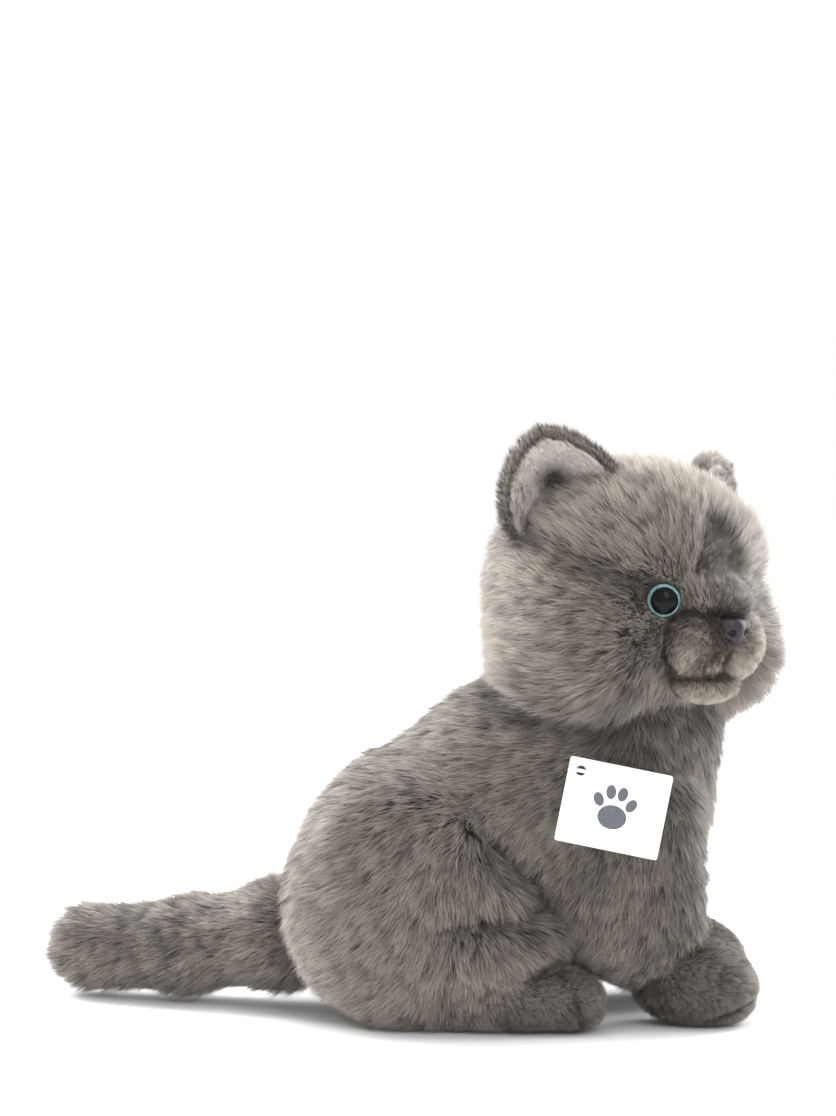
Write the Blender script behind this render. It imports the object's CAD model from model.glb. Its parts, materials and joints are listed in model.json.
import bpy
import json
import math
import numpy as np
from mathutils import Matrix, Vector

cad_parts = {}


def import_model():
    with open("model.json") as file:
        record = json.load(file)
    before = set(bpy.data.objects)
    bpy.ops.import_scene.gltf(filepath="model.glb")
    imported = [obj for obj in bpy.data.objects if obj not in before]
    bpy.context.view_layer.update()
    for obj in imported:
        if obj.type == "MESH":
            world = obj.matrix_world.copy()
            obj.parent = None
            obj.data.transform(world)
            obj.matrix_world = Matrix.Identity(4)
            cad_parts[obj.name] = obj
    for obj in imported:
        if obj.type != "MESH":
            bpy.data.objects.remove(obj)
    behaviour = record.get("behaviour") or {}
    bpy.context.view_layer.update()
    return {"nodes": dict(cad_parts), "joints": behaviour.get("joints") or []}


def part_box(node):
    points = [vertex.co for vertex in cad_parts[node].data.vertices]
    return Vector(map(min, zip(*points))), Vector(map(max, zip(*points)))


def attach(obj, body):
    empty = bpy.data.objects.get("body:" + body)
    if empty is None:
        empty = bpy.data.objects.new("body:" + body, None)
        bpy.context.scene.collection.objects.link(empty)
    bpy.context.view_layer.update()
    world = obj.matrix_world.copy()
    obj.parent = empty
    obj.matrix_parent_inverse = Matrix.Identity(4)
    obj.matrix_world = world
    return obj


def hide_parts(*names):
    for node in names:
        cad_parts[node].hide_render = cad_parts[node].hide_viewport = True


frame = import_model()

# A seated plush cat. Shapes are worked out in millimetres in the frame's axes: +X is the
# way the body faces, +Y is the cat's left, +Z is up and the floor is at zero. Every cloth
# form is one closed skin, and the pile on it is thin bent blades grown from that skin.

MM = 0.001
FLOOR = 0.3  # lowest point of any pile
RANDOM = 20  # first seed; every piece adds its own number to it

# Camera, in millimetres
VIEW_DISTANCE = 1200.0
VIEW_SIDE = 1.6
VIEW_HEIGHT = 235.0
VIEW_WIDTH = 272.0
VIEW_PITCH = 4.1  # degrees down
SENSOR = 36.0

# Skins: the grid that each form is meshed on
BODY_STEP = 2.0
HEAD_STEP = 1.6
PAW_STEP = 1.0
FACE_STEP = 0.8
NOSE_STEP = 0.45

# Pile: sizes of its tufts and of the patches that lie a little differently
TUFT_SIZES = (4.2, 1.7)
PATCH_SIZE = 13.0

# Blades
MOST_BLADES = 65000  # in one piece, so that its mesh stays under 200,000 triangles
ROOT_DEPTH = 0.3  # how far each one starts below the skin
LENGTH_SPREAD = (0.72, 1.15)
WIDTH_SPREAD = (0.8, 1.25)
MIDDLE_WIDTH = 0.85  # of the width at the root


# ---------------------------------------------------------------- places from the frame


def corners(node):
    low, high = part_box(node)
    return np.array(low) / MM, np.array(high) / MM


def middle(node):
    low, high = corners(node)
    return low + (high - low) * 0.5


def mirrored(point, hand):
    """A point given for the cat's left, moved to its right for hand -1."""
    return np.array([point[0], hand * point[1], point[2]])


def joint(name):
    return next(j for j in frame["joints"] if j["name"] == name)


def unit(v):
    return v / np.maximum(np.linalg.norm(v, axis=-1, keepdims=True), 1e-9)


def cad_points(node):
    mesh = frame["nodes"][node].data
    flat = np.empty(len(mesh.vertices) * 3, np.float32)
    mesh.vertices.foreach_get("co", flat)
    return flat.reshape(-1, 3).astype(float) / MM


HEAD_CENTRE = np.array(joint("head_turn")["pos_m"]) / MM
HEAD_UP = unit(np.array(joint("head_turn")["axis"]))
to_nose = middle("nose") - HEAD_CENTRE
HEAD_FORWARD = unit(to_nose - HEAD_UP * (to_nose @ HEAD_UP))
HEAD_LEFT = np.cross(HEAD_UP, HEAD_FORWARD)
HEAD_AXES = np.array([HEAD_FORWARD, HEAD_LEFT, HEAD_UP])


def from_head(x, y, z):
    """A place in the head's own axes: x out of the face, y to the cat's left, z up."""
    return HEAD_CENTRE + np.array([x, y, z]) @ HEAD_AXES


def to_head(points):
    return (points - HEAD_CENTRE) @ HEAD_AXES.T


def shank(node):
    """Where a pushed-in eye's or nose's shank ends, and the way it points out of the head."""
    points = cad_points(node)
    outward = unit(points.mean(0) - HEAD_CENTRE)
    along = points @ outward
    end = points[along < along.min() + 0.6].mean(0)
    apex = points[np.argmax(np.linalg.norm(points - end, axis=1))]
    return end, unit(apex - end), np.linalg.norm(apex - end)


# ---------------------------------------------------------------- solid forms as distances


def ball(centre, radii, axes=None):
    """An ellipsoid. axes holds its own three directions, one to a row."""
    radii = np.array(radii, float) * np.ones(3)
    turn = np.eye(3) if axes is None else np.array(axes)

    def distance(p):
        q = (p - centre) @ turn.T
        near = np.linalg.norm(q / radii, axis=1)
        steep = np.linalg.norm(q / radii**2, axis=1)
        return near * (near - 1.0) / np.maximum(steep, 1e-6)

    return distance


def bar(start, end, start_radius, end_radius):
    run = end - start

    def distance(p):
        along = np.clip((p - start) @ run / (run @ run), 0, 1)
        spine = start + along[:, None] * run
        return np.linalg.norm(p - spine, axis=1) - (start_radius + (end_radius - start_radius) * along)

    return distance


def half_space(point, normal):
    """Everything behind the plane."""
    normal = unit(np.array(normal, float))
    return lambda p: (p - point) @ normal


def soft_min(a, b, k):
    h = np.clip(0.5 + 0.5 * (b - a) / k, 0, 1)
    return b + (a - b) * h - k * h * (1 - h)


def joined(k, *forms):
    """The forms melted together over k millimetres."""

    def distance(p):
        total = forms[0](p)
        for form in forms[1:]:
            total = soft_min(total, form(p), k)
        return total

    return distance


def trimmed(k, form, *limits):
    """The part of the form that lies inside every limit, with an edge rounded over k."""

    def distance(p):
        total = form(p)
        for limit in limits:
            total = -soft_min(-total, -limit(p), k)
        return total

    return distance


def hollowed(k, form, *tools):
    """The form with the tools taken away."""

    def distance(p):
        total = form(p)
        for tool in tools:
            total = -soft_min(-total, tool(p), k)
        return total

    return distance


def grooved(form, depth, width, offset, reach):
    """Sinks the surface along the line where offset(p) is zero, as far as reach(p) says."""

    def distance(p):
        return form(p) + depth * np.exp(-((offset(p) / width) ** 2)) * reach(p)

    return distance


def slope(form, p, h=0.25):
    """The outward direction at each point."""
    grad = np.empty_like(p)
    for axis in range(3):
        step = np.zeros(3)
        step[axis] = h
        grad[:, axis] = form(p + step) - form(p - step)
    return unit(grad)


def ramp(value, low, high):
    t = np.clip((value - low) / (high - low), 0, 1)
    return t * t * (3 - 2 * t)


# ---------------------------------------------------------------- meshes


def surface_net(form, low, high, step):
    """A closed mesh of four-sided faces where the form's distance is zero."""
    count = np.ceil((high - low) / step).astype(int) + 1
    lines = [low[i] + step * np.arange(count[i]) for i in range(3)]
    points = np.stack(np.meshgrid(*lines, indexing="ij"), -1)
    value = form(points.reshape(-1, 3)).reshape(count)
    cells = tuple(count - 1)
    total = np.zeros(cells + (3,))
    hits = np.zeros(cells)
    for axis in range(3):
        others = [a for a in range(3) if a != axis]
        for shift_a in (0, 1):
            for shift_b in (0, 1):
                start = [slice(0, n - 1) for n in count]
                start[others[0]] = slice(shift_a, count[others[0]] - 1 + shift_a)
                start[others[1]] = slice(shift_b, count[others[1]] - 1 + shift_b)
                end = list(start)
                end[axis] = slice(1, count[axis])
                a, b = value[tuple(start)], value[tuple(end)]
                crossed = (a < 0) != (b < 0)
                hits += crossed
                share = np.where(crossed, a / np.where(crossed, a - b, 1), 0)
                total[..., axis] += share
                total[..., others[0]] += crossed * shift_a
                total[..., others[1]] += crossed * shift_b
    active = hits > 0
    index = np.full(cells, -1)
    index[active] = np.arange(active.sum())
    places = np.argwhere(active) + total[active] / hits[active][:, None]
    quads = []
    for axis in range(3):
        a, b = [x for x in range(3) if x != axis]
        first = [slice(1, n - 1) for n in count]
        first[axis] = slice(0, count[axis] - 1)
        last = list(first)
        last[axis] = slice(1, count[axis])
        low_in, high_in = value[tuple(first)] < 0, value[tuple(last)] < 0
        edges = np.argwhere(low_in != high_in)
        inward = low_in[tuple(edges.T)]
        edges = edges + np.array([0 if i == axis else 1 for i in range(3)])
        ring = []
        for step_a, step_b in ((-1, -1), (0, -1), (0, 0), (-1, 0)):
            cell = edges.copy()
            cell[:, a] += step_a
            cell[:, b] += step_b
            ring.append(index[tuple(cell.T)])
        ring = np.stack(ring, 1)
        flip = inward if axis == 1 else ~inward
        ring[flip] = ring[flip][:, ::-1]
        quads.append(ring)
    verts = low + step * places
    for _ in range(2):
        verts -= slope(form, verts) * form(verts)[:, None]
    return verts, np.concatenate(quads)


def mesh_object(name, verts, loops, starts, smooth=True):
    mesh = bpy.data.meshes.new(name)
    mesh.vertices.add(len(verts))
    mesh.vertices.foreach_set("co", np.ascontiguousarray(verts * MM, np.float32).ravel())
    mesh.loops.add(len(loops))
    mesh.loops.foreach_set("vertex_index", np.ascontiguousarray(loops, np.int32))
    mesh.polygons.add(len(starts))
    mesh.polygons.foreach_set("loop_start", np.ascontiguousarray(starts, np.int32))
    mesh.polygons.foreach_set("use_smooth", np.full(len(starts), smooth))
    mesh.update(calc_edges=True)
    made = bpy.data.objects.new(name, mesh)
    bpy.context.scene.collection.objects.link(made)
    return made


class Skin:
    """A closed cloth form: its distance, its mesh and its outward directions."""

    def __init__(self, name, form, low, high, step, material):
        self.form = form
        self.verts, self.quads = surface_net(form, np.array(low), np.array(high), step)
        self.normals = slope(form, self.verts)
        starts = np.arange(len(self.quads)) * 4
        self.object = mesh_object(name, self.verts, self.quads.ravel(), starts)
        self.object.data.materials.append(material)

    def scattered(self, density, rng):
        """Random points on the skin, with the outward direction at each."""
        tris = np.concatenate([self.quads[:, [0, 1, 2]], self.quads[:, [0, 2, 3]]])
        a, b, c = (self.verts[tris[:, i]] for i in range(3))
        area = 0.5 * np.linalg.norm(np.cross(b - a, c - a), axis=1)
        count = int(area.sum() * density)
        pick = rng.choice(len(tris), count, p=area / area.sum())
        u, v = rng.random(count), rng.random(count)
        over = u + v > 1
        u[over], v[over] = 1 - u[over], 1 - v[over]
        weights = np.stack([1 - u - v, u, v], 1)[:, :, None]
        places = (self.verts[tris[pick]] * weights).sum(1)
        normals = unit((self.normals[tris[pick]] * weights).sum(1))
        return places, normals


LATTICE = np.random.default_rng(RANDOM).uniform(-1, 1, (32, 32, 32, 3))


def drift(p, size):
    """Smooth random vectors that change over about size millimetres."""
    q = p / size
    cell = np.floor(q).astype(int)
    part = q - cell
    part = part * part * (3 - 2 * part)
    total = np.zeros_like(p)
    for corner in np.ndindex(2, 2, 2):
        weight = np.prod(np.where(np.array(corner), part, 1 - part), axis=1)
        at = (cell + np.array(corner)) % 32
        total += weight[:, None] * LATTICE[at[:, 0], at[:, 1], at[:, 2]]
    return total


def tufts(p, size):
    """For each place, the way to the middle of its tuft and three numbers that the tuft shares."""
    q = p / size
    base = np.floor(q - 0.5).astype(int)
    nearest = np.full(len(p), np.inf)
    way = np.zeros_like(p)
    shared = np.zeros_like(p)
    for corner in np.ndindex(2, 2, 2):
        cell = base + np.array(corner)
        at = cell % 32
        gap = cell + 0.5 + 0.45 * LATTICE[at[:, 0], at[:, 1], at[:, 2]] - q
        reach = (gap**2).sum(1)
        nearer = reach < nearest
        nearest[nearer] = reach[nearer]
        way[nearer] = gap[nearer] * size
        other = (at[nearer] + 11) % 32
        shared[nearer] = LATTICE[other[:, 0], other[:, 1], other[:, 2]]
    return way, shared


# ---------------------------------------------------------------- materials


def principled(name, **settings):
    material = bpy.data.materials.new(name)
    material.use_nodes = True
    shader = material.node_tree.nodes["Principled BSDF"]
    for socket, value in settings.items():
        shader.inputs[socket.replace("_", " ")].default_value = value
    return material, material.node_tree, shader


def add(tree, kind, **settings):
    node = tree.nodes.new(kind)
    for key, value in settings.items():
        if key in node.inputs:
            node.inputs[key].default_value = value
        else:
            setattr(node, key, value)
    return node


def stops(tree, source, *colours):
    """A colour ramp of (position, colour) pairs fed by source."""
    node = tree.nodes.new("ShaderNodeValToRGB")
    tree.links.new(source, node.inputs[0])
    elements = node.color_ramp.elements
    while len(elements) < len(colours):
        elements.new(0.5)
    for element, (position, colour) in zip(elements, colours):
        element.position = position
        element.color = (*colour, 1)
    return node.outputs[0]


def tinted(tree, a, b, factor, blend):
    node = tree.nodes.new("ShaderNodeMix")
    node.data_type = "RGBA"
    node.blend_type = blend
    tree.links.new(a, node.inputs["A"])
    tree.links.new(b, node.inputs["B"])
    node.inputs["Factor"].default_value = factor
    return node.outputs["Result"]


def pile_material(name, root, body, tip, sheen, darkest=0.26):
    """Pile whose colour runs from root to tip, with a lighter and a darker share of blades."""
    material, tree, shader = principled(
        name,
        Roughness=0.62,
        Specular_IOR_Level=0.25,
        Sheen_Weight=sheen,
        Sheen_Roughness=0.45,
        Sheen_Tint=(1.0, 0.97, 0.92, 1),
    )
    where = add(tree, "ShaderNodeUVMap", uv_map="OFBake")
    parts = add(tree, "ShaderNodeSeparateXYZ")
    tree.links.new(where.outputs[0], parts.inputs[0])
    along = stops(tree, parts.outputs[1], (0.05, root), (0.50, body), (1.0, tip))
    tone = stops(tree, parts.outputs[0], (0.0, (darkest,) * 3), (0.5, (0.70,) * 3), (1.0, (1.05,) * 3))
    tree.links.new(tinted(tree, along, tone, 1.0, "MULTIPLY"), shader.inputs["Base Color"])
    return material


def backing_material(name, dark, light):
    """The knitted backing and the thick short fibres at the foot of the pile."""
    material, tree, shader = principled(name, Roughness=0.9, Specular_IOR_Level=0.1)
    where = add(tree, "ShaderNodeTexCoord")
    fuzz = add(tree, "ShaderNodeTexNoise", Scale=900.0, Detail=3.0)
    tree.links.new(where.outputs["Object"], fuzz.inputs["Vector"])
    colour = stops(tree, fuzz.outputs["Fac"], (0.3, dark), (0.7, light))
    tree.links.new(colour, shader.inputs["Base Color"])
    bump = add(tree, "ShaderNodeBump", Strength=0.4, Distance=0.0004)
    tree.links.new(fuzz.outputs["Fac"], bump.inputs["Height"])
    tree.links.new(bump.outputs[0], shader.inputs["Normal"])
    return material


def speckled_material(name, dark, light, scale, bump_height, **settings):
    """A moulded or printed surface with a fine grain in its colour and relief."""
    material, tree, shader = principled(name, **settings)
    where = add(tree, "ShaderNodeTexCoord")
    grain = add(tree, "ShaderNodeTexNoise", Scale=scale, Detail=4.0)
    tree.links.new(where.outputs["Object"], grain.inputs["Vector"])
    colour = stops(tree, grain.outputs["Fac"], (0.35, dark), (0.65, light))
    tree.links.new(colour, shader.inputs["Base Color"])
    bump = add(tree, "ShaderNodeBump", Strength=0.5, Distance=bump_height)
    tree.links.new(grain.outputs["Fac"], bump.inputs["Height"])
    tree.links.new(bump.outputs[0], shader.inputs["Normal"])
    return material


BODY_PILE = pile_material(
    "body_fibre", (0.024, 0.0210, 0.0190), (0.148, 0.128, 0.113), (0.520, 0.465, 0.395), 0.40
)
HEAD_PILE = pile_material(
    "head_fibre", (0.034, 0.0295, 0.0255), (0.190, 0.165, 0.141), (0.510, 0.457, 0.388), 0.40
)
SHORT_PILE = pile_material(
    "short_fibre", (0.040, 0.0350, 0.0315), (0.148, 0.130, 0.114), (0.320, 0.283, 0.248), 0.25
)
MUZZLE_PILE = pile_material(
    "muzzle_fibre", (0.120, 0.1010, 0.0850), (0.390, 0.335, 0.283), (0.620, 0.545, 0.460), 0.25
)
EAR_PILE = pile_material(
    "ear_fibre", (0.060, 0.0520, 0.0450), (0.240, 0.208, 0.180), (0.500, 0.442, 0.378), 0.35
)
LINING_PILE = pile_material(
    "lining_fibre", (0.420, 0.375, 0.350), (0.800, 0.730, 0.680), (0.900, 0.840, 0.790), 0.30, 0.04
)
BODY_BACKING = backing_material("body_backing", (0.030, 0.026, 0.024), (0.075, 0.066, 0.060))
HEAD_BACKING = backing_material("head_backing", (0.040, 0.035, 0.031), (0.095, 0.084, 0.074))
LINING_BACKING = backing_material("lining_backing", (0.20, 0.175, 0.165), (0.36, 0.32, 0.30))


# ---------------------------------------------------------------- pile


def flattened(flow, normals):
    """The flow laid along the skin."""
    return unit(flow - normals * (flow * normals).sum(1, keepdims=True))


# A blade's faces as corner numbers, where each face starts, and how high each point is
STIFF_BLADE = (np.array([[0, 1, 2]]), np.array([0]), np.array([0.0, 0.0, 1.0]))
BENT_BLADE = (
    np.array([[0, 1, 3, 2, 2, 3, 4]]), np.array([0, 4]), np.array([0.0, 0.0, 0.5, 0.5, 1.0]),
)


def grow(name, skin, material, body, *, seed, density, length, lean, flow, keep=None,
         width=0.095, tuft=0.45, gather=0.85, tone=0.5, mottle=1.0, stiff=False):
    """One piece of pile on the skin. length, lean and tone are numbers or functions of the
    places and outward directions, lean is in degrees from upright, flow gives the way that
    the pile is brushed, and mottle scales how much the blades differ in tone."""
    rng = np.random.default_rng(RANDOM + seed)
    p, n = skin.scattered(density, rng)
    if keep is not None:
        kept = keep(p, n)
        p, n = p[kept], n[kept]
    if len(p) > MOST_BLADES:
        p, n = p[:MOST_BLADES], n[:MOST_BLADES]

    def value(setting):
        return setting(p, n) if callable(setting) else np.full(len(p), float(setting))

    wide_way, wide_share = tufts(p, TUFT_SIZES[0])
    fine_way, fine_share = tufts(p, TUFT_SIZES[1])
    patch = drift(p, PATCH_SIZE)
    reach = value(length) * rng.uniform(*LENGTH_SPREAD, len(p))
    reach *= 1 + 0.10 * wide_share[:, 2] + 0.10 * fine_share[:, 2]
    tilt = np.radians(value(lean)) * (1 + 0.16 * wide_share[:, 1] + 0.12 * patch[:, 1])
    brushed = flattened(flow(p, n), n)
    loose = 0.45 * wide_share + 0.35 * fine_share + 0.5 * patch + 0.30 * rng.normal(size=p.shape)
    brushed = flattened(brushed + tuft * loose, n)
    low = unit(n * np.cos(tilt * 0.75)[:, None] + brushed * np.sin(tilt * 0.75)[:, None])
    high = unit(n * np.cos(tilt * 1.25)[:, None] + brushed * np.sin(tilt * 1.25)[:, None])
    high = unit(high + 0.12 * rng.normal(size=p.shape))
    pull = 0.17 * wide_way + 0.42 * fine_way
    pull = gather * (pull - n * (pull * n).sum(1, keepdims=True))
    root = p - n * ROOT_DEPTH
    mid = root + low * (0.5 * reach)[:, None] + 0.45 * pull
    end = mid + high * (0.5 * reach)[:, None] + 0.55 * pull
    for points in (root, mid, end):
        points[:, 2] = np.maximum(points[:, 2], FLOOR)
    twist = rng.normal(0, 0.5, len(p))[:, None]
    across = unit(np.cross(low, n) + twist * n * 0.6)
    wide = (width * rng.uniform(*WIDTH_SPREAD, len(p)))[:, None]
    rows = [root - across * wide, root + across * wide]
    if not stiff:
        rows += [mid - across * wide * MIDDLE_WIDTH, mid + across * wide * MIDDLE_WIDTH]
    rows.append(end)
    corner, starts, up = STIFF_BLADE if stiff else BENT_BLADE
    size = len(rows)
    verts = np.stack(rows, 1).reshape(-1, 3)
    count = len(p)
    loops = (corner + size * np.arange(count)[:, None]).ravel()
    starts = (starts[None] + corner.shape[1] * np.arange(count)[:, None]).ravel()
    made = mesh_object(name, verts, loops, starts)
    uneven = 0.13 * wide_share[:, 0] + 0.22 * fine_share[:, 1] + 0.18 * patch[:, 2]
    shade = value(tone) + mottle * (uneven + rng.normal(0, 0.17, count))
    shade = np.clip(shade, 0.02, 0.98)
    uv = np.empty((count, corner.shape[1], 2), np.float32)
    uv[:, :, 0] = shade[:, None]
    uv[:, :, 1] = 0.02 + 0.96 * up[corner[0]][None]
    made.data.uv_layers.new(name="OFBake").data.foreach_set("uv", uv.ravel())
    bent = unit(n + 0.35 * brushed * rng.normal(0.2, 0.6, count)[:, None] + 0.22 * fine_share)
    normals = np.repeat(bent, size, axis=0)
    made.data.normals_split_custom_set_from_vertices(normals.tolist())
    made.data.materials.append(material)
    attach(made, body)
    return made


# ---------------------------------------------------------------- the forms

HANDS = ((1, "left"), (-1, "right"))

# Haunch: the thigh is bounded above and in front by a straight crease to the knee
HAUNCH_MIDDLE = np.array([middle("haunch_left")[0], 28.0, 40.0])
HAUNCH_RADII = (37.5, 20.5, 38.0)
SHIN_MIDDLE = np.array([20.5, 28.5, 26.5])
SHIN_RADII = (22.5, 18.5, 26.5)
HOCK_MIDDLE = np.array([26.5, 28.5, 17.0])
HOCK_RADII = (14.0, 17.5, 16.0)
CREASE_POINT = np.array([42.5, 0.0, 41.5])
CREASE_NORMAL = (1.0, 0.0, 1.0)
WHORL = np.array([14.0, 0.0, 55.0])  # the haunch's pile spreads out from here
KNEE_FOLD_HEIGHT = 38.0
CUFF_POINT = np.array([71.0, 0.0, 13.5])  # the leg ends in a slanting cuff over the paw
CUFF_NORMAL = (0.53, 0.0, -0.85)


def haunch_form(hand):
    thigh = joined(
        8.0,
        ball(mirrored(HAUNCH_MIDDLE, hand), HAUNCH_RADII),
        ball(mirrored(SHIN_MIDDLE, hand), SHIN_RADII),
        ball(mirrored(HOCK_MIDDLE, hand), HOCK_RADII),
    )
    return trimmed(7.0, thigh, half_space(CREASE_POINT, CREASE_NORMAL))


def leg_form(hand):
    """Shoulder to wrist, with the elbow's fullness behind."""
    shoulder = mirrored((75, 22, 66), hand)
    wrist = mirrored((79, 23, 20), hand)
    elbow = ball(mirrored((67, 22.5, 42), hand), (17, 14, 17))
    cuff = ball(mirrored((70, 23, 30), hand), (15.5, 13.5, 13.5))
    leg = joined(8.0, bar(shoulder, wrist, 15.0, 12.0), elbow, cuff)
    return trimmed(3.0, leg, half_space(CUFF_POINT, CUFF_NORMAL))


def trunk_form():
    """Rump, back, chest and neck without the limbs."""
    return joined(
        14.0,
        ball((-3, 0, 36), (36, 33, 33)),
        ball((2, 0, 57), (28, 26, 28)),
        ball((30, 0, 62), (34, 30, 32)),
        ball((42, 0, 34), (26, 24, 22)),
        ball((36, 0, 80), (30, 26, 28)),
        ball((61.0, 0, 72), (33.5, 28, 33)),
        ball((65.0, 0, 98), (32.0, 26, 25)),
    )


def body_form():
    full = trunk_form()
    for hand, _ in HANDS:
        full = joined(10.0, full, leg_form(hand))
    for hand, _ in HANDS:
        full = joined(16.0, full, haunch_form(hand))
    return trimmed(4.0, full, half_space(np.array([0, 0, 1.2]), (0, 0, -1)))


def knee_fold(p):
    """Depth of the fold across the front of the thigh, level with the knee."""
    return p[:, 2] - KNEE_FOLD_HEIGHT - 0.03 * (p[:, 0] - 30)


def crease(p):
    """Distance from the plane of the crease between the thigh and the flank."""
    return (p - CREASE_POINT) @ unit(np.array(CREASE_NORMAL))


def crease_reach(p):
    """Runs the crease from high on the flank down to the knee."""
    along = (p - CREASE_POINT) @ unit(np.array([1.0, 0, -1.0]))
    return ramp(along, -40, -12) * ramp(-along, -9, 2) * ramp(np.abs(p[:, 1]), 14, 24)


def rump_seam(p):
    """Distance from the seam between the back panel and the side panel."""
    return np.abs(p[:, 1]) - 20.0


def knee_fold_reach(p):
    """Runs the fold from the middle of the thigh to its front."""
    return ramp(p[:, 0], -4, 26) * ramp(np.abs(p[:, 1]), 24, 34) * ramp(-p[:, 0], -52, -46)


def rump_reach(p):
    return ramp(-p[:, 0], 0, 18) * ramp(p[:, 2], 30, 45) * ramp(-p[:, 2], -92, -80)


CREASE_WIDTH = 4.5
RUMP_SEAM_WIDTH = 2.2
KNEE_FOLD_WIDTH = 3.6
BODY_FORM = grooved(body_form(), 5.5, KNEE_FOLD_WIDTH, knee_fold, knee_fold_reach)
BODY_FORM = grooved(BODY_FORM, 8.5, CREASE_WIDTH, crease, crease_reach)
BODY_FORM = grooved(BODY_FORM, 2.6, RUMP_SEAM_WIDTH, rump_seam, rump_reach)


def paw_form(hand):
    """A front paw: an egg that falls towards the toes, with the seam of its sole."""
    centre = mirrored((89.5, 23.0, 14.0), hand)
    pitch = math.radians(8)
    axes = [(math.cos(pitch), 0, -math.sin(pitch)), (0, 1, 0), (math.sin(pitch), 0, math.cos(pitch))]
    egg = joined(
        6.0,
        ball(centre, (19.3, 14.8, 14.0), axes),
        ball(centre + (9, 0, -3), (11.0, 12.8, 9.8)),
    )
    egg = trimmed(3.0, egg, half_space(np.array([0, 0, 0.8]), (0, 0, -1)))
    return grooved(
        egg,
        2.2,
        1.0,
        lambda p: p[:, 2] - 4.2 - 0.38 * np.clip(p[:, 0] - 95, 0, 20),
        lambda p: ramp(p[:, 0], 90, 99),
    )


def foot_form(hand):
    """A hind foot, with its toe set off by a seam."""
    centre = mirrored((37.0, 37.0, 11.5), hand)
    foot = joined(
        4.0,
        ball(centre, (22.5, 11.0, 10.3)),
        ball(centre + mirrored((15, 0, -2), hand), (8.0, 9.5, 8.0)),
    )
    foot = trimmed(3.0, foot, half_space(np.array([0, 0, 0.8]), (0, 0, -1)))
    return grooved(
        foot,
        2.4,
        1.0,
        lambda p: (p[:, 0] - 51.5) + 0.35 * (p[:, 2] - 8),
        lambda p: ramp(-p[:, 2], -16, -10),
    )


TAIL_ROOT = np.array(joint("tail_swing")["pos_m"]) / MM
TAIL_TIP = np.array([corners("tail_cover")[0][0] + 13.0, 27.0, 16.5])


def tail_form():
    run = TAIL_TIP - TAIL_ROOT
    return joined(
        8.0,
        ball(TAIL_ROOT, 14.0),
        bar(TAIL_ROOT + run * 0.05, TAIL_ROOT + run * 0.5 + (0, 0, -1.5), 13.5, 11.0),
        bar(TAIL_ROOT + run * 0.5 + (0, 0, -1.5), TAIL_TIP, 11.0, 10.8),
    )


def head_form():
    """The head's round skin with its crown, full cheeks, the nose bridge and the eye hollows."""
    round_head = ball(from_head(-1, 0, 0), (39.5, 43.0, 36.0), HEAD_AXES)
    crown = ball(from_head(1.5, 0, 11.5), (37.0, 40.0, 28.0), HEAD_AXES)
    cheeks = [ball(from_head(4, hand * 25.8, -15), (29, 20.3, 21.5), HEAD_AXES) for hand, _ in HANDS]
    bridge = ball(from_head(38.8, 0, -0.5), (10.0, 12.0, 8.2), HEAD_AXES)
    full = joined(6.0, round_head, crown, *cheeks)
    full = joined(5.0, full, bridge)
    hollows = []
    for _, name in HANDS:
        end, outward, reach = shank(f"eye_{name}")
        hollows.append(ball(end + outward * (reach + 1.5), 7.2))
    return hollowed(2.5, full, *hollows)


def eye_sockets():
    """A ball behind each eye, flush with the edge of its dome."""
    sockets = []
    for _, name in HANDS:
        end, outward, reach = shank(f"eye_{name}")
        sockets.append(ball(end + outward * (reach - 10.0), 8.3))
    return sockets


def brow_seam(p):
    """Height above the seam that runs from the ear's foot to the eye."""
    q = to_head(p)
    return q[:, 2] - 14.5 + 0.36 * q[:, 0]


def brow_reach(p):
    q = to_head(p)
    return ramp(np.abs(q[:, 1]), 12, 20) * ramp(q[:, 0], -22, -8)


HEAD_FORM = joined(1.0, grooved(head_form(), 3.8, 3.4, brow_seam, brow_reach), *eye_sockets())


def puff_form(hand):
    """One side of the muzzle."""
    puff = joined(
        3.0,
        ball(from_head(38.4, hand * 8.2, -13.4), (10.2, 10.0, 11.2), HEAD_AXES),
        ball(from_head(37.5, hand * 3.2, -14.5), (10.0, 6.0, 8.4), HEAD_AXES),
    )
    return trimmed(1.5, puff, half_space(from_head(0, hand * 0.3, 0), -hand * HEAD_LEFT))


def chin_form():
    return ball(from_head(36.5, -0.6, -26.7), (8.6, 11.6, 5.2), HEAD_AXES)


PAD = np.array([12.0, 12.0, 12.0])


def skin_between(name, form, nodes, step, material, pad=PAD):
    """A skin meshed inside the boxes of these nodes, with some room round them."""
    low = np.min([corners(node)[0] for node in nodes], axis=0) - pad
    high = np.max([corners(node)[1] for node in nodes], axis=0) + pad
    return Skin(name, form, low, high, step, material)


def declare(skin, body):
    """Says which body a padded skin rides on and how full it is."""
    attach(skin.object, body)


BODY_NODES = ["back_panel", "chest_panel", "seat_panel", "torso_filling"]
for _, side_name in HANDS:
    BODY_NODES += [f"side_panel_{side_name}", f"haunch_{side_name}", f"haunch_filling_{side_name}"]
    BODY_NODES += [f"front_leg_{side_name}", f"front_leg_filling_{side_name}"]
body_skin = skin_between("body_skin", BODY_FORM, BODY_NODES, BODY_STEP, BODY_BACKING)
declare(body_skin, "torso")

HEAD_NODES = ["crown_panel", "cheek_panel_left", "cheek_panel_right", "forehead_wedge"]
HEAD_NODES.append("head_filling")
head_skin = skin_between("head_skin", HEAD_FORM, HEAD_NODES, HEAD_STEP, HEAD_BACKING)
declare(head_skin, "head")

TAIL_FORM = tail_form()
tail_skin = skin_between("tail_skin", TAIL_FORM, ["tail_cover"], HEAD_STEP, BODY_BACKING)
declare(tail_skin, "tail")
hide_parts("tail_cover", "tail_filling")

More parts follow.
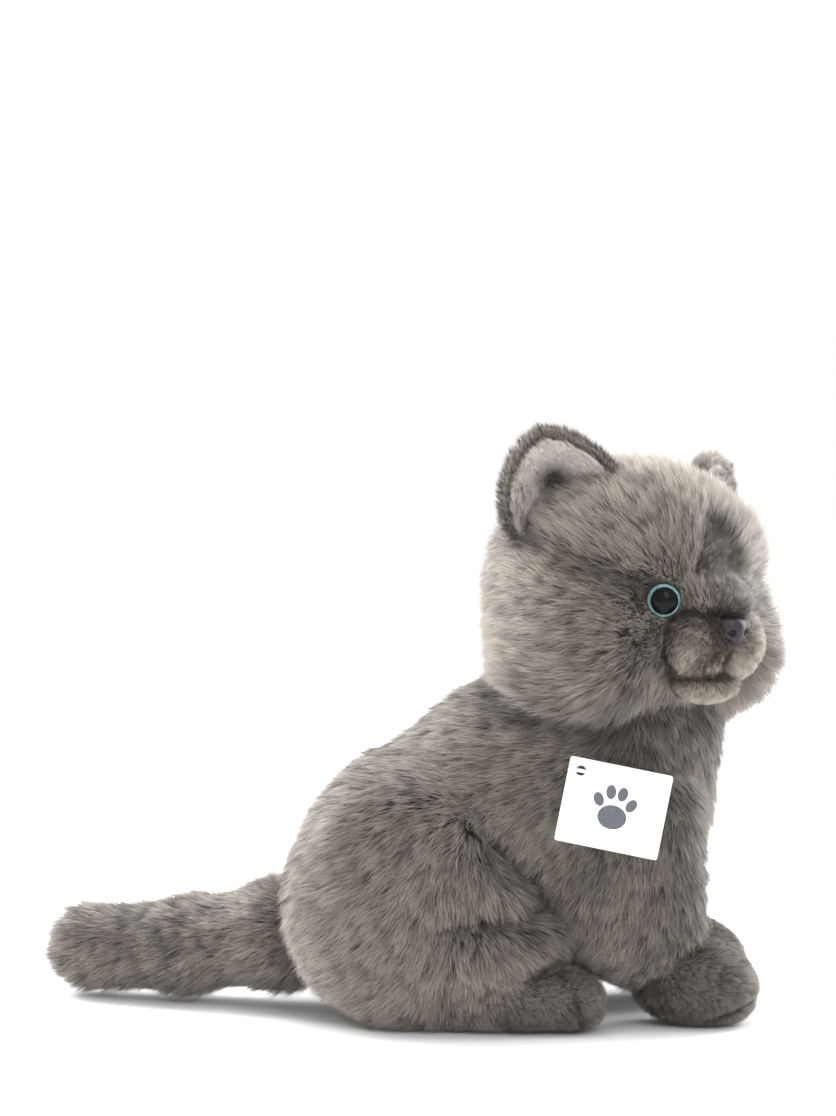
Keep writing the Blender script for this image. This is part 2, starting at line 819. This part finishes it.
paws = {}
feet = {}
puffs = {}
for hand, side_name in HANDS:
    paw, foot, puff = (f"{part}_{side_name}" for part in ("front_paw", "hind_foot", "muzzle"))
    paws[side_name] = skin_between(
        f"front_paw_skin_{side_name}", paw_form(hand), [paw], PAW_STEP, BODY_BACKING
    )
    feet[side_name] = skin_between(
        f"hind_foot_skin_{side_name}", foot_form(hand), [foot], PAW_STEP, BODY_BACKING
    )
    puffs[side_name] = skin_between(
        f"muzzle_skin_{side_name}", puff_form(hand), [puff], FACE_STEP, HEAD_BACKING
    )
    declare(paws[side_name], "torso")
    declare(feet[side_name], "torso")
    declare(puffs[side_name], "head")
    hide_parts(paw, f"front_paw_filling_{side_name}")
    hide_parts(foot, f"hind_foot_filling_{side_name}")
    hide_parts(puff)
chin_skin = skin_between("chin_skin", chin_form(), ["chin"], FACE_STEP, HEAD_BACKING)
declare(chin_skin, "head")
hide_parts("chin")
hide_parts(*HEAD_NODES)
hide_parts(*BODY_NODES)


# ---------------------------------------------------------------- pile on the body


def even(*v):
    """The same direction everywhere."""
    return lambda p, n: np.tile(np.array(v, float), (len(p), 1))


def trunk_flow(p, n):
    """Back along the spine, down and back on the flanks, straight down on the chest."""
    down = ramp(-p[:, 2], -95, -20)[:, None]
    flank = np.array([-0.95, 0, -0.35]) * (1 - down) + np.array([-0.45, 0, -0.9]) * down
    front = ramp(p[:, 0] + 14 * n[:, 0], 52, 84)[:, None]
    return flank * (1 - front) + np.array([-0.05, 0, -1.0]) * front


def haunch_flow(p, n):
    """Down over the thigh, fanning back towards the rump and forward at the knee, and going
    on from the back's own way at the top."""
    fan = np.clip((p[:, 0] - WHORL[0]) / 26.0, -1.3, 0.7)
    fan = np.where(fan > 0, fan * ramp(-p[:, 2], -58, -34), fan)
    high = ramp(p[:, 2], 40, 76)
    fan = fan * (1 - high) - 1.1 * high
    return np.stack([fan, 0 * fan, -1 + 0 * fan], 1)


def leg_flow(p, n):
    low = ramp(-p[:, 2], -40, -20)[:, None]
    return np.array([-0.15, 0, -1.0]) * (1 - low) + np.array([-0.8, 0, -0.6]) * low


def body_flow(p, n):
    """Each limb's own way, melting into the trunk's."""
    thigh = np.minimum(*[haunch_fields[name](p) for _, name in HANDS])
    leg = np.minimum(*[leg_fields[name](p) for _, name in HANDS])
    thigh_share = ramp(-thigh, -12, 2)[:, None]
    leg_share = (ramp(-leg, -7, 1) * ramp(-p[:, 2], -84, -60))[:, None]
    flow = trunk_flow(p, n) * (1 - leg_share) + leg_flow(p, n) * leg_share
    return flow * (1 - thigh_share) + haunch_flow(p, n) * thigh_share


def fold_share(p):
    """1 in the bottom of the crease, less in the knee fold and the rump's seams."""
    in_crease = np.exp(-((crease(p) / CREASE_WIDTH) ** 2)) * crease_reach(p)
    in_fold = np.exp(-((knee_fold(p) / KNEE_FOLD_WIDTH) ** 2)) * knee_fold_reach(p)
    in_seam = np.exp(-((rump_seam(p) / RUMP_SEAM_WIDTH) ** 2)) * rump_reach(p)
    return np.maximum(in_crease, np.maximum(0.7 * in_fold, 0.5 * in_seam))


def body_tone(p, n):
    """Darker in the shade under the head and in the folds, lighter along the back."""
    shade = 0.42 * ramp(-HEAD_FORM(p), -15, -2) + 0.36 * fold_share(p)
    front = 0.16 * ramp(p[:, 0], 45, 62) * ramp(-p[:, 2], -112, -96)
    return 0.52 - shade - front + 0.12 * ramp(-p[:, 0], -10, 25)


haunch_fields = {name: haunch_form(hand) for hand, name in HANDS}
leg_fields = {name: leg_form(hand) for hand, name in HANDS}


def hidden(p, *forms, depth=0.8):
    """Places inside any of the forms."""
    found = np.zeros(len(p), bool)
    for form in forms:
        found |= form(p) < -depth
    return found


def body_share(p):
    """Which panel each place belongs to."""
    share = np.full(len(p), "side_right", dtype=object)
    share[p[:, 1] > 0] = "side_left"
    middle_band = np.abs(p[:, 1]) < 17.0
    behind = p[:, 0] < 8 + 0.47 * p[:, 2]
    share[middle_band & behind] = "back"
    share[middle_band & ~behind & (p[:, 0] > 30)] = "chest"
    for _, name in HANDS:
        share[(leg_fields[name](p) < 1.6) & (p[:, 2] < 84)] = f"leg_{name}"
    for _, name in HANDS:
        share[haunch_fields[name](p) < 0.9] = f"haunch_{name}"
    return share


def on_body(part):
    def keep(p, n):
        covers = [HEAD_FORM, TAIL_FORM]
        covers += [paws[name].form for _, name in HANDS] + [feet[name].form for _, name in HANDS]
        return (body_share(p) == part) & ~hidden(p, *covers) & (p[:, 2] > 1.6)

    return keep


def body_length(p, n):
    """Longest on the back and haunches, shorter in the folds and by the paws and feet."""
    toes = np.min([part[name].form(p) for part in (paws, feet) for _, name in HANDS], axis=0)
    return (9.6 - 4.0 * fold_share(p)) * (0.55 + 0.45 * ramp(toes, 1, 11))


BODY_PARTS = ["back", "chest"]
for _, side_name in HANDS:
    BODY_PARTS += [f"{part}_{side_name}" for part in ("side", "haunch", "leg")]
for number, part in enumerate(BODY_PARTS):
    grow(
        f"{part}_pile", body_skin, BODY_PILE, "torso", seed=number, density=7.0, length=body_length,
        lean=54, flow=body_flow, keep=on_body(part), tone=body_tone,
    )

tail_run = TAIL_TIP - TAIL_ROOT
grow(
    "tail_pile", tail_skin, BODY_PILE, "tail", seed=11, density=7.5, length=8.5, lean=52,
    flow=even(*(unit(tail_run) + (0, 0, -0.25))), tone=0.43,
    keep=lambda p, n: ~hidden(p, BODY_FORM, depth=3.0),
)


def paw_flow(p, n):
    return np.array([0.75, 0, -0.55]) + 0 * p


SHORT_BLADES = {"width": 0.10, "tuft": 0.5, "gather": 0.5, "stiff": True}
FACE_BLADES = {**SHORT_BLADES, "width": 0.09}
for hand, side_name in HANDS:
    for part, skins, seed, tone in (("front_paw", paws, 20, 0.68), ("hind_foot", feet, 24, 0.78)):
        grow(
            f"{part}_pile_{side_name}", skins[side_name], SHORT_PILE, "torso", seed=seed + hand,
            density=16, length=2.6, lean=38, flow=paw_flow, tone=tone, **SHORT_BLADES,
            keep=lambda p, n: (p[:, 2] > 1.0) & ~hidden(p, BODY_FORM),
        )

# ---------------------------------------------------------------- pile on the head


def face_flow(p, n):
    """Out from the nose in every direction, level along the cheeks, down under the chin and
    down the back of the head."""
    q = to_head(p)
    away = q - np.array([36.0, 0, -6.0])
    away[:, 0] *= 0.6
    cheek = ramp(-q[:, 2], -6, 12) * ramp(-q[:, 0], -26, -10)
    away[:, 2] *= 1 - 0.95 * cheek
    away[:, 2] -= 8.0 * ramp(-q[:, 2], 22, 38)
    behind = ramp(-q[:, 0], -2, 26)
    away[:, 1] *= 1 - 0.7 * behind
    away[:, 2] = away[:, 2] * (1 - behind) - 45.0 * behind
    return away @ HEAD_AXES


def wedge_shape(q):
    """Inside the short-pile wedge on the forehead and the nose bridge below it."""
    half = np.interp(q[:, 2], [-8, 6, 11, 21, 25], [8.5, 9.5, 9.5, 6.0, 1.5])
    return (q[:, 0] > 10) & (q[:, 2] > -10) & (q[:, 2] < 25.0) & (np.abs(q[:, 1]) < half)


def eye_gap(p):
    """Distance from the nearer eye's middle."""
    gaps = []
    for _, name in HANDS:
        end, outward, reach = shank(f"eye_{name}")
        gaps.append(np.linalg.norm(p - (end + outward * (reach - 3)), axis=1))
    return np.minimum(*gaps)


def head_length(p, n):
    """Long on the cheeks and crown, short round the eyes and beside the muzzle."""
    q = to_head(p)
    length = 8.6 + 1.8 * ramp(-q[:, 2], 2, 22)
    length *= 0.36 + 0.64 * ramp(eye_gap(p), 6.0, 15)
    near_muzzle = np.min([puffs[name].form(p) for _, name in HANDS], axis=0)
    length *= 0.45 + 0.55 * ramp(near_muzzle, 0, 7)
    return length


def wedge_tone(p, n):
    """Dark on the forehead, lighter on the bridge of the nose."""
    return 0.02 + 0.62 * ramp(-to_head(p)[:, 2], -9, -2)


def brow_tone(p, n):
    """Darker along the seam from the ear's foot to the eye and round the eyes."""
    seam = np.exp(-((brow_seam(p) / 3.5) ** 2)) * brow_reach(p)
    return 0.58 - 0.26 * seam - 0.12 * ramp(-eye_gap(p), -10, -6)


def head_share(p):
    q = to_head(p)
    share = np.full(len(p), "cheek_right", dtype=object)
    share[q[:, 1] > 0] = "cheek_left"
    share[brow_seam(p) > 0] = "crown"
    share[wedge_shape(q)] = "wedge"
    return share


def on_head(part):
    def keep(p, n):
        covers = [puffs[name].form for _, name in HANDS] + [chin_skin.form]
        clear = eye_gap(p) > 5.2
        return (head_share(p) == part) & clear & ~hidden(p, *covers) & ~hidden(p, BODY_FORM, depth=4.0)

    return keep


for number, part in enumerate(("crown", "cheek_left", "cheek_right")):
    grow(
        f"{part}_pile", head_skin, HEAD_PILE, "head", seed=30 + number, density=8.0, length=head_length,
        lean=46, flow=face_flow, keep=on_head(part), tone=brow_tone,
    )
grow(
    "forehead_wedge_pile", head_skin, SHORT_PILE, "head", seed=34, density=24, length=2.6, lean=40,
    flow=face_flow, keep=on_head("wedge"), width=0.09, tuft=0.4, gather=0.4, stiff=True, tone=wedge_tone,
)
for hand, side_name in HANDS:
    grow(
        f"muzzle_pile_{side_name}", puffs[side_name], MUZZLE_PILE, "head", seed=40 + hand, density=22,
        length=2.4, lean=38, flow=face_flow, tone=0.5, **FACE_BLADES,
        keep=lambda p, n: ~hidden(p, HEAD_FORM),
    )
grow(
    "chin_pile", chin_skin, MUZZLE_PILE, "head", seed=44, density=22, length=2.2, lean=38,
    flow=face_flow, tone=0.6, **FACE_BLADES,
    keep=lambda p, n: ~hidden(p, HEAD_FORM),
)

# ---------------------------------------------------------------- ears

EAR_CUP = 24.0  # radius of the ear's hollow curve
EAR_WALL = 1.3  # half the thickness of the ear's back
LINING_WALL = 0.8
LINING_RIM = 2.2  # how far the lining's edge stays inside the back's
LINING_GAP = 0.7
EAR_SPLAY = {"left": 8.0, "right": 3.5}  # how far each tip leans out past the CAD's
EAR_HALF_WIDTH = {"left": 17.0, "right": 17.5}  # on the outer side
EAR_INNER_HALF_WIDTH = 17.5
EAR_TURN = {"left": 16.0, "right": 0.0}  # degrees that the outer edge comes forward
EAR_AHEAD = {"left": 5.0, "right": 0.0}  # how far in front of the CAD's fold line it stands
EAR_TONE = {"left": 0.45, "right": 0.75}
LINING_TONE = {"left": 0.35, "right": 0.75}
EAR_TRIM = {"left": 4.0, "right": 0.5}  # how much lower each tip is than the CAD's highest point


def ear_axes(name):
    """The ear's foot, and its own directions: along the foot outwards, to the tip, and the way
    that it faces."""
    hinge = joint(f"ear_{name}_fold")
    foot = np.array(hinge["pos_m"]) / MM
    outward = unit(np.array(hinge["axis"]))
    if outward @ HEAD_UP > 0:
        outward = -outward
    points = cad_points(f"ear_back_{name}")
    tip = points[np.argmax((points - foot) @ HEAD_UP)]
    rise = tip - foot
    rise = unit(rise - outward * (rise @ outward))
    facing = np.cross(outward, rise)
    if facing @ HEAD_FORWARD < 0:
        facing = -facing
    foot = foot + facing * EAR_AHEAD[name]
    turn = math.radians(EAR_TURN[name])
    across = outward * math.cos(turn) + facing * math.sin(turn)
    axes = np.array([across, rise, facing * math.cos(turn) - outward * math.sin(turn)])
    return foot, axes, (tip - foot) @ axes.T


def ear_form(name, wall, rim, depth):
    """A cupped, rounded triangle, rim smaller all round and set depth in front of the back."""
    foot, axes, (tip_side, height, _) = ear_axes(name)

    def distance(p):
        q = (p - foot) @ axes.T
        u, v, w = q[:, 0], q[:, 1], q[:, 2]
        cup = EAR_CUP - depth
        shell = np.abs(np.hypot(u, w - EAR_CUP + 3) - cup) - wall
        top = height - EAR_TRIM[name] - rim * 1.5
        lean = np.clip((v + 4) / (top + 4), 0, 1)
        across = u - (tip_side + EAR_SPLAY[name]) * lean
        half = np.where(across > 0, EAR_HALF_WIDTH[name], EAR_INNER_HALF_WIDTH) - rim
        bulge = np.where(across > 0, 1 - lean**2.6, 1 - lean**1.6)
        side = np.abs(across) - (half * bulge + 2.0)
        outline = -soft_min(-side * 0.86, top - v, 5.0)
        outline = np.maximum(outline, -v - 9)
        outline = np.maximum(outline, w - EAR_CUP + 6)
        return -soft_min(-shell, -outline, 1.5)

    return distance


for hand, side_name in HANDS:
    ear_nodes = [f"ear_back_{side_name}", f"ear_lining_{side_name}"]
    back_form = ear_form(side_name, EAR_WALL, 0.0, 0.0)
    lining_form = ear_form(side_name, LINING_WALL, LINING_RIM, EAR_WALL + LINING_GAP)
    ear_back = skin_between(f"ear_skin_{side_name}", back_form, ear_nodes, FACE_STEP, HEAD_BACKING)
    ear_lining = skin_between(
        f"ear_lining_skin_{side_name}", lining_form, ear_nodes, FACE_STEP, LINING_BACKING
    )
    declare(ear_back, f"ear_{side_name}")
    declare(ear_lining, f"ear_{side_name}")
    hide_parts(f"ear_back_{side_name}")
    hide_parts(f"ear_lining_{side_name}")
    foot, axes, _ = ear_axes(side_name)

    def lining_tone(p, n, foot=foot, axes=axes, lightest=LINING_TONE[side_name]):
        """Dark in the hollow at the fold line, light all round it."""
        q = (p - foot) @ axes.T
        return lightest - 1.0 * np.exp(-(((q[:, 0] + 1.5) / 6.5) ** 2) - ((q[:, 1] + 1.0) / 6.0) ** 2)

    def rim_length(p, n, facing=axes[2]):
        """Shorter on the side that faces forward."""
        return 3.8 - 1.6 * ramp(n @ facing, -0.2, 0.6)

    grow(
        f"ear_back_pile_{side_name}", ear_back, EAR_PILE, f"ear_{side_name}", seed=50 + hand, density=16,
        length=rim_length, lean=35, flow=even(*axes[1]), width=0.10, gather=0.2, tuft=0.2, mottle=0.6,
        tone=EAR_TONE[side_name],
        keep=lambda p, n, inner=lining_form: ~hidden(p, HEAD_FORM, depth=1.5) & (inner(p) > 0.4),
    )
    grow(
        f"ear_lining_pile_{side_name}", ear_lining, LINING_PILE, f"ear_{side_name}", seed=54 + hand,
        density=24, length=3.0, lean=58, mottle=0.3, flow=even(*(axes[1] + 0.3 * axes[0])),
        width=0.09, stiff=True, tone=lining_tone, gather=0.4, tuft=0.3,
        keep=lambda p, n, facing=axes[2]: ~hidden(p, HEAD_FORM, depth=1.5) & (n @ facing > -0.2),
    )

# ---------------------------------------------------------------- eyes and nose

EYE_RADIUS = 5.4
EYE_DOME = 4.0
PUPIL_SHARE = 0.80  # of the eye's radius
IRIS_SHARE = 0.97
EYE_RINGS = 28
EYE_TURNS = 72
PUPIL = speckled_material(
    "eye_pupil", (0.003, 0.003, 0.004), (0.007, 0.007, 0.009), 400.0, 0.00001,
    Roughness=0.07, Specular_IOR_Level=0.12,
)
IRIS = speckled_material(
    "eye_iris", (0.10, 0.25, 0.26), (0.27, 0.47, 0.46), 700.0, 0.00001,
    Roughness=0.10, Specular_IOR_Level=0.40,
)
RIM = speckled_material(
    "eye_rim", (0.012, 0.016, 0.018), (0.03, 0.04, 0.042), 500.0, 0.00001, Roughness=0.5,
    Specular_IOR_Level=0.2,
)


def eye_piece(name):
    """A domed eye: pupil, iris ring and dark rim, turned about the shank's axis."""
    end, outward, reach = shank(f"eye_{name}")
    base = end + outward * (reach - EYE_DOME)
    sideways = unit(np.cross(HEAD_UP, outward))
    upward = np.cross(outward, sideways)
    rings, turns = EYE_RINGS, EYE_TURNS
    verts = [base + outward * EYE_DOME]
    loops, starts, slots = [], [], []
    outline = []
    for i in range(1, rings + 1):
        angle = math.pi / 2 * i / rings
        outline.append((EYE_RADIUS * math.sin(angle), EYE_DOME * math.cos(angle)))
    outline += [(EYE_RADIUS * 0.96, -0.8), (EYE_RADIUS * 0.5, -1.2)]
    for radius, height in outline:
        for k in range(turns):
            a = 2 * math.pi * k / turns
            verts.append(base + outward * height + radius * (sideways * math.cos(a) + upward * math.sin(a)))

    def add_face(indices, radius):
        starts.append(len(loops))
        loops.extend(indices)
        share = radius / EYE_RADIUS
        slots.append(0 if share < PUPIL_SHARE else (1 if share < IRIS_SHARE else 2))

    for k in range(turns):
        add_face([0, 1 + k, 1 + (k + 1) % turns], 0)
    for i in range(len(outline) - 1):
        for k in range(turns):
            a = 1 + i * turns + k
            b = 1 + i * turns + (k + 1) % turns
            middle_radius = (outline[i][0] + outline[i + 1][0]) / 2
            add_face([a, a + turns, b + turns, b], middle_radius if i < rings - 1 else EYE_RADIUS)
    add_face([1 + (len(outline) - 1) * turns + k for k in range(turns)][::-1], EYE_RADIUS)
    made = mesh_object(f"eye_dome_{name}", np.array(verts), np.array(loops), np.array(starts))
    for material in (PUPIL, IRIS, RIM):
        made.data.materials.append(material)
    made.data.polygons.foreach_set("material_index", np.array(slots, np.int32))
    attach(made, "head")
    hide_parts(f"eye_{name}")
    return made


for _, side_name in HANDS:
    eye_piece(side_name)

NOSE = speckled_material(
    "nose_leather", (0.016, 0.011, 0.016), (0.034, 0.025, 0.034), 1500.0, 0.00008,
    Roughness=0.50, Specular_IOR_Level=0.28,
)


def nose_form():
    """A soft triangle with a flat top and two nostril dents."""
    front = to_head(cad_points("nose"))
    face = front[front[:, 0] > front[:, 0].max() - 3.0]
    x = face[:, 0].max() + 0.2
    z = (face[:, 2].max() + face[:, 2].min()) / 2
    top = joined(
        1.4,
        bar(from_head(x - 0.8, -4.4, z + 2.3), from_head(x - 0.8, 4.4, z + 2.3), 1.9, 1.9),
        bar(from_head(x, 0, z + 1.4), from_head(x - 0.4, 0, z - 2.6), 2.6, 2.1),
        bar(from_head(x - 0.6, -3.2, z + 0.8), from_head(x - 0.6, 3.2, z + 0.8), 2.4, 2.4),
        bar(from_head(x - 0.6, -1.9, z - 1.0), from_head(x - 0.6, 1.9, z - 1.0), 2.2, 2.2),
    )
    nostrils = []
    for hand, _ in HANDS:
        nostrils.append(ball(from_head(x + 1.2, hand * 3.1, z - 0.4), (1.3, 1.4, 1.0), HEAD_AXES))
    return hollowed(0.8, top, *nostrils)


nose_skin = skin_between("nose_leather", nose_form(), ["nose"], NOSE_STEP, NOSE, PAD / 4)
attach(nose_skin.object, "head")
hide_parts("nose")

# ---------------------------------------------------------------- tag

CARD = speckled_material(
    "tag_card", (0.80, 0.80, 0.78), (0.88, 0.88, 0.87), 1800.0, 0.00002, Roughness=0.45,
)
INK = speckled_material(
    "tag_ink", (0.085, 0.095, 0.110), (0.110, 0.120, 0.135), 1500.0, 0.00001, Roughness=0.4,
)
CLEAR = speckled_material(
    "clear_plastic", (0.75, 0.77, 0.78), (0.88, 0.90, 0.90), 600.0, 0.00001,
    Roughness=0.2, Coat_Weight=0.5,
)


def tag_axes():
    """The tag's hole, and its own directions: along its top edge, up, and out of its face."""
    hinge = joint("tag_swing")
    hole = np.array(hinge["pos_m"]) / MM
    facing = unit(np.array(hinge["axis"]))
    points = cad_points("swing_tag")
    far = points[np.argmax(points[:, 0])]
    near_top = points[np.argmax(points[:, 2])]
    along = unit(far - near_top)
    along = unit(along - facing * (along @ facing))
    return hole, along, np.cross(facing, along), facing


TAG_HOLE, TAG_ALONG, TAG_UP, TAG_FACING = tag_axes()
TAG_POINTS = cad_points("swing_tag") - TAG_HOLE


def tag_place(u, v, w):
    return TAG_HOLE + u * TAG_ALONG + v * TAG_UP + w * TAG_FACING


def disc_outline(radius_u, radius_v, centre_u, centre_v, turn, count=40):
    a = 2 * math.pi * np.arange(count) / count
    u, v = radius_u * np.cos(a), radius_v * np.sin(a)
    c, s = math.cos(turn), math.sin(turn)
    return np.stack([centre_u + u * c - v * s, centre_v + u * s + v * c], 1)


def raised(name, outlines, low, high, material, body):
    """Flat prints: each outline as a thin closed plate between two heights off the card."""
    verts, loops, starts = [], [], []
    for outline in outlines:
        first, count = len(verts), len(outline)
        verts += [tag_place(u, v, low) for u, v in outline]
        verts += [tag_place(u, v, high) for u, v in outline]
        starts.append(len(loops))
        loops += [first + i for i in range(count)][::-1]
        starts.append(len(loops))
        loops += [first + count + i for i in range(count)]
        for i in range(count):
            j = (i + 1) % count
            starts.append(len(loops))
            loops += [first + i, first + j, first + count + j, first + count + i]
    made = mesh_object(name, np.array(verts), np.array(loops), np.array(starts), smooth=False)
    made.data.materials.append(material)
    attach(made, body)
    return made


tag_u, tag_v, tag_w = (TAG_POINTS @ d for d in (TAG_ALONG, TAG_UP, TAG_FACING))
CARD_LEFT, CARD_RIGHT, CARD_LOW, CARD_TOP = tag_u.min(), tag_u.max(), tag_v.min(), tag_v.max()
CARD_FRONT = tag_w.max()
PAW_PRINT = [disc_outline(3.4, 2.8, 0, -2.2, 0)]
for toe_u, toe_v, toe_turn in ((-3.9, 1.3, 0.5), (-1.4, 3.5, 0.15), (1.4, 3.5, -0.15), (3.9, 1.3, -0.5)):
    PAW_PRINT.append(disc_outline(1.15, 1.65, toe_u, toe_v, toe_turn))
CARD_CENTRE = np.array([(CARD_LEFT + CARD_RIGHT) / 2, (CARD_LOW + CARD_TOP) / 2])
PRINT_SIZE = 1.35  # times the paw print's outlines
INK_DEPTH = 0.05  # how far the print sinks into the card and stands off it
tag_print = raised(
    "tag_print", [outline * PRINT_SIZE + CARD_CENTRE for outline in PAW_PRINT],
    CARD_FRONT - INK_DEPTH, CARD_FRONT + INK_DEPTH, INK, "tag",
)

# ---------------------------------------------------------------- pieces kept from the frame

BAG_CLOTH = backing_material("bag_cloth", (0.52, 0.50, 0.45), (0.66, 0.64, 0.58))
WASHER = speckled_material(
    "washer_plastic", (0.70, 0.70, 0.68), (0.80, 0.80, 0.78), 900.0, 0.00002, Roughness=0.5
)


def dress(node, material):
    data = frame["nodes"][node].data
    data.materials.clear()
    data.materials.append(material)


dress("pellet_bag", BAG_CLOTH)
dress("eye_lock_washers", WASHER)
dress("nose_lock_washer", WASHER)
dress("swing_tag", CARD)
dress("tag_fastener", CLEAR)

# ---------------------------------------------------------------- stage, light and camera

FLOOR_REACH = 30000.0


def stage():
    """A white floor out to the horizon, with nothing in the way of a view from behind."""
    material, tree, shader = principled("stage_paper", Roughness=0.9, Specular_IOR_Level=0.1)
    where = add(tree, "ShaderNodeTexCoord")
    grain = add(tree, "ShaderNodeTexNoise", Scale=40.0)
    tree.links.new(where.outputs["Object"], grain.inputs["Vector"])
    colour = stops(tree, grain.outputs["Fac"], (0.0, (0.93, 0.93, 0.93)), (1.0, (0.96, 0.96, 0.96)))
    tree.links.new(colour, shader.inputs["Base Color"])
    reach = FLOOR_REACH
    verts = np.array([(-reach, -reach, 0), (reach, -reach, 0), (reach, reach, 0), (-reach, reach, 0.0)])
    made = mesh_object("stage_floor", verts, np.arange(4), np.array([0]), smooth=False)
    made.data.materials.append(material)


def area_light(name, place, size, power, target=(30.0, 0.0, 90.0), colour=(1, 1, 1)):
    data = bpy.data.lights.new(name, "AREA")
    data.shape = "RECTANGLE"
    data.size, data.size_y = (s * MM for s in size)
    data.energy = power
    data.color = colour
    lamp = bpy.data.objects.new(name, data)
    bpy.context.scene.collection.objects.link(lamp)
    lamp.location = Vector(place) * MM
    lamp.rotation_euler = (Vector(target) - Vector(place)).to_track_quat("-Z", "Y").to_euler()


def world(strength):
    made = bpy.data.worlds.new("studio")
    made.use_nodes = True
    bpy.context.scene.world = made
    shade = made.node_tree.nodes["Background"]
    shade.inputs[0].default_value = (1, 1, 1, 1)
    shade.inputs[1].default_value = strength


def camera():
    data = bpy.data.cameras.new("camera")
    data.sensor_fit = "HORIZONTAL"
    data.sensor_width = SENSOR
    data.lens = SENSOR * VIEW_DISTANCE / VIEW_WIDTH
    data.clip_end = 20
    made = bpy.data.objects.new("camera", data)
    bpy.context.scene.collection.objects.link(made)
    made.location = (VIEW_SIDE * MM, -VIEW_DISTANCE * MM, VIEW_HEIGHT * MM)
    made.rotation_euler = (math.radians(90 - VIEW_PITCH), 0, 0)
    bpy.context.scene.camera = made


stage()
world(1.06)
area_light("top_softbox", (-50, 150, 1100), (900, 900), 11)
area_light("left_rim", (-850, 550, 500), (500, 900), 19)
area_light("right_rim", (900, 550, 450), (500, 900), 13)
area_light("front_softbox", (450, -1150, 800), (500, 700), 3.5)
camera()
bpy.context.scene.view_settings.view_transform = "Standard"
